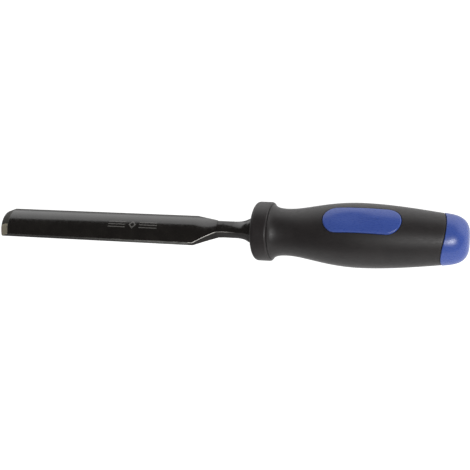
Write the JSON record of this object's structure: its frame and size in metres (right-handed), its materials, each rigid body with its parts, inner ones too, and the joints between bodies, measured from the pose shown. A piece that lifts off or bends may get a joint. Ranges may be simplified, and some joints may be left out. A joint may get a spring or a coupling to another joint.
{
  "type": "firmer gouge",
  "caption": "Black hand gouge with a curved steel blade, a round neck, a black collar and a barrel grip with blue inlays and a blue striking cap.",
  "frame": {"origin": "centre of the flat striking face at the butt", "axes": "+X out of the butt along the tool's axis, so the cutting edge is at -X; +Z towards the rounded back of the blade"},
  "size_m": [0.2685, 0.034, 0.0344],
  "materials": {
    "blackened_steel": "black oxide with a satin sheen, ground bright along the bevel",
    "plain_steel": "turned, plain",
    "black_plastic": "satin moulded plastic",
    "core_plastic": "hard moulded plastic, hidden",
    "black_grip": "soft overmould with a fine matte texture",
    "blue_plastic": "satin moulded plastic"
  },
  "bodies": {
    "root": {"gouge_blade": "blackened_steel", "front_collar": "black_plastic", "ferrule_hoop": "plain_steel", "handle_core": "core_plastic", "grip_sleeve": "black_grip", "back_inlay": "blue_plastic", "belly_inlay": "blue_plastic", "striking_cap": "blue_plastic"}
  },
  "joints": []
}
